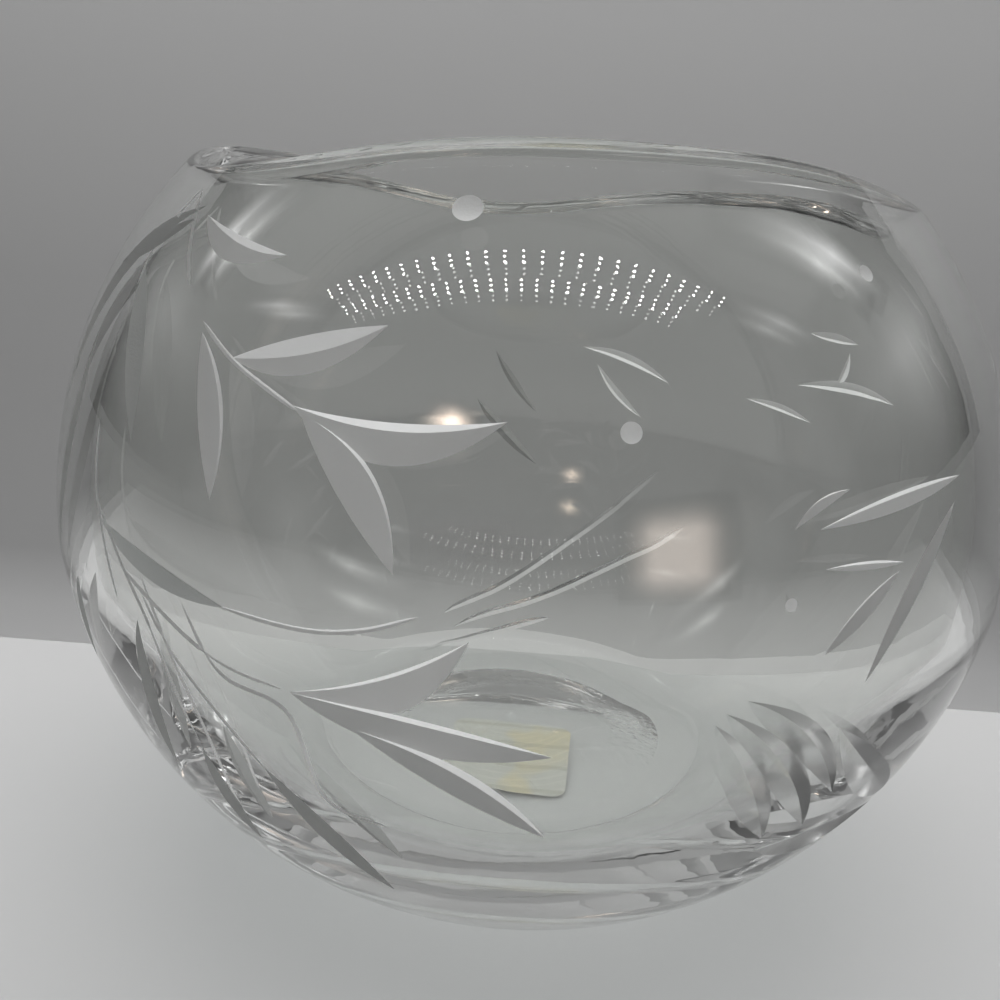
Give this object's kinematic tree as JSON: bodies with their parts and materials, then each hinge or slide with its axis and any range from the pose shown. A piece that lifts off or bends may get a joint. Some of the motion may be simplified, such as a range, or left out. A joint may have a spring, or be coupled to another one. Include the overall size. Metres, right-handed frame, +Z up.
{
  "type": "rose bowl vase",
  "caption": "Round cut-glass rose bowl with a drawn-in mouth, a gently waved rim, leaf and dot cuts, and a plain label under the foot.",
  "frame": {"origin": "centre of the foot, on the surface that the bowl stands on", "axes": "+Z up through the middle of the mouth, +X to the right and -Y towards the viewer of the pictured side"},
  "size_m": [0.17, 0.17, 0.1282],
  "materials": {
    "crystal": "polished clear lead crystal with grey matt leaf cuts",
    "label": "cream self-adhesive label"
  },
  "bodies": {
    "root": {"glass_bowl": "crystal", "base_label": "label"}
  },
  "joints": []
}
